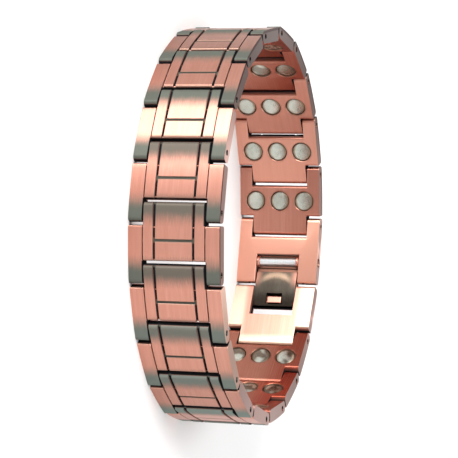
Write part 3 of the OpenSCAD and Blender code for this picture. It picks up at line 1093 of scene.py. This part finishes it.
MAGNET_GREY = rgb(182, 190, 180)
MAGNET_OLIVE = rgb(158, 140, 116)
MAGNET_DARK = rgb(104, 90, 76)
copper_finish = brushed_copper()
leaf_finish = antique_leaf()
pin_finish = turned_metal("dark pin", 0, rgb(70, 56, 50), rgb(52, 42, 38), 0.4)
steel_finish = turned_metal("bright steel", HINGE_X, rgb(238, 248, 250), rgb(228, 240, 243), 0.3)
magnet_finish = plated_magnet()

# Pieces
tree = along_the_band()
link_places = pin_places[1:]
link_headings = [heading(end, start) for start, end in zip(pin_places, pin_places[1:])]
# How light or dark each link is painted: partly its own tone, partly painted light and shade.
link_tones = [
    -0.55, -0.9, -0.5, 0.0, -0.2, 0.15, 0.05, 0.1, -0.15,
    0.0, -0.25, -0.7, -0.7, -0.5, -0.4, 0.1, 0.4, -0.1,
]
even = [0.0] * len(pin_places)

# Where each kind of piece ends: at its tongue, in its notch and at its lugs
link_ends = (-END_R, PITCH - SHOULDER_X, PITCH + END_R)
hinge_ends = (-PITCH, CLASP_HALF - SHOULDER_X, CLASP_HALF + END_R)
catch_ends = (-END_R, CLASP_HALF - MID_GAP / 2, 2 * PITCH)
lever_ends = (-LEVER_REACH, BAND_T / 2, 2 * PITCH)


def flat_y(x):
    return -BAND_T / 2


def link_y(x):
    return arch_y(x, PITCH / 2)


links = arrayed(
    "links", tree, stations("link stations", link_places, link_headings, link_tones),
    marked(plain_link(), link_ends, link_y), copper_finish,
)
magnets = arrayed(
    "magnets", tree, stations("magnet stations", link_places, link_headings, link_tones),
    marked(magnet(), link_ends, flat_y), magnet_finish, MAGNETS, MAGNET_STEP,
)
link_pins = arrayed(
    "link_pins", tree, stations("pin stations", pin_places, even, even),
    marked(pin(0, PIN_D), link_ends, flat_y), pin_finish,
)


def clasp_piece(name, mesh, ends, outer_y, place, finish):
    """A piece of the clasp, whose mesh already lies in its place."""
    return piece_of(name, marked(mesh, ends, outer_y, place.inverted()), finish)


def clasp_y(x):
    return arch_y(x, CLASP_HALF / 2)


def lever_y(x):
    return hinge_to_centre - math.sqrt(lever_r ** 2 - x ** 2)


clasp_hinge_link = clasp_piece(
    "hinge_link", moved(hinge_link(), hinge_link_frame), hinge_ends, clasp_y, hinge_link_frame,
    copper_finish,
)
clasp_catch_link = clasp_piece(
    "catch_link", catch_link(), catch_ends, clasp_y, catch_link_frame, copper_finish,
)
# The hinge link is painted light, and the catch link gets a painted white highlight.
for piece, tone in [(clasp_hinge_link, 1), (clasp_catch_link, 2)]:
    note_numbers(piece.data, "tone", [tone] * len(piece.data.vertices))
clasp_leaf = clasp_piece(
    "catch_leaf", moved(leaf(), mid_frame), lever_ends, flat_y, mid_frame, leaf_finish,
)
clasp_lever = clasp_piece(
    "lever_plate", moved(lever(), lever_frame), lever_ends, lever_y, lever_frame, copper_finish,
)
clasp_pin = clasp_piece(
    "hinge_pin", moved(pin(HINGE_X, HINGE_D), hinge_link_frame), hinge_ends, flat_y,
    hinge_link_frame, steel_finish,
)

for piece, body, slot, replaced in [
    (links, "band", "copper", link_nodes),
    (magnets, "band", "magnets", magnet_nodes),
    (link_pins, "band", "pins", pin_nodes),
    (clasp_hinge_link, "band", "copper", ["clasp_hinge_link"]),
    (clasp_catch_link, "band", "copper", ["clasp_catch_link"]),
    (clasp_leaf, "band", "copper", []),
    (clasp_lever, "lever", "copper", ["clasp_lever"]),
    (clasp_pin, "band", "steel", ["clasp_pin"]),
]:
    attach(piece, body)
    if replaced:
        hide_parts(*replaced)

# Floor, 6 m wide
bm = bmesh.new()
bmesh.ops.create_grid(bm, x_segments=1, y_segments=1, size=3)
floor_mesh = mesh_from(bm, "floor")
floor_finish, _, floor_shader = new_material("pale floor")
floor_shader.inputs["Base Color"].default_value = (0.9, 0.9, 0.9, 1)
floor_shader.inputs["Roughness"].default_value = 0.9
floor = piece_of("floor", floor_mesh, floor_finish)

# Light
WORLD_STRENGTH = 0.32
LIGHT_AWAY = 1700

world = bpy.data.worlds.new("studio")
bpy.context.scene.world = world
world.use_nodes = True
background = world.node_tree.nodes["Background"]
background.inputs["Color"].default_value = (1, 1, 1, 1)
background.inputs["Strength"].default_value = WORLD_STRENGTH


def softbox(name, azimuth, elevation, size, radiance):
    """An area light that faces the band, of an even brightness as the eye would see it."""
    light = bpy.data.lights.new(name, "AREA")
    light.shape = "RECTANGLE"
    light.size, light.size_y = (side * MM for side in size)
    light.energy = radiance * math.pi * light.size * light.size_y
    turn = math.radians(azimuth)
    rise = math.radians(elevation)
    out = math.cos(rise)
    place = Vector((out * math.cos(turn), out * math.sin(turn), math.sin(rise)))
    obj = bpy.data.objects.new(name, light)
    obj.location = place * LIGHT_AWAY * MM
    obj.rotation_euler = (-place).to_track_quat("-Z", "Y").to_euler()
    bpy.context.scene.collection.objects.link(obj)


softbox("key light", -129.5, 14, (1100, 900), 15.0)
softbox("front fill", -30, 32, (1300, 1000), 1.3)
softbox("back panel", 95, 19, (2600, 800), 0.4)
softbox("top light", -90, 89, (1500, 1500), 3.2)

# Camera: the photograph's own perspective, found by fitting the loop of links to it
PHOTO_SIZE = 458
FOCAL_PX = 1940.8
SENSOR = 36
CAMERA_YAW = math.radians(17.567)
CAMERA_ROLL = math.radians(-1.267)
LOOP_TILT = math.radians(-9.271)
CAMERA_OFFSET = Vector((0.750, 0.853, 359.824))


def photo_camera():
    """The camera, from the photograph's right, up and away turned into the frame's axes."""
    cos_t, sin_t = math.cos(LOOP_TILT), math.sin(LOOP_TILT)
    to_frame = Matrix(((0, -cos_t, sin_t), (0, sin_t, cos_t), (1, 0, 0)))
    turn = Matrix.Rotation(CAMERA_ROLL, 3, "Z") @ Matrix.Rotation(CAMERA_YAW, 3, "Y")
    place = to_frame @ (turn.transposed() @ -CAMERA_OFFSET) + Vector((0, 0, BAND_W / 2))
    right, up, away = (to_frame @ turn[k] for k in range(3))
    camera = bpy.data.cameras.new("camera")
    camera.sensor_width = SENSOR
    camera.lens = FOCAL_PX / PHOTO_SIZE * SENSOR
    camera.clip_start = 0.01
    camera.clip_end = 20
    obj = bpy.data.objects.new("camera", camera)
    turned = Matrix((right, up, -away)).transposed().to_4x4()
    obj.matrix_world = Matrix.Translation(place * MM) @ turned
    bpy.context.scene.collection.objects.link(obj)
    bpy.context.scene.camera = obj


photo_camera()
bpy.context.scene.view_settings.view_transform = "Standard"
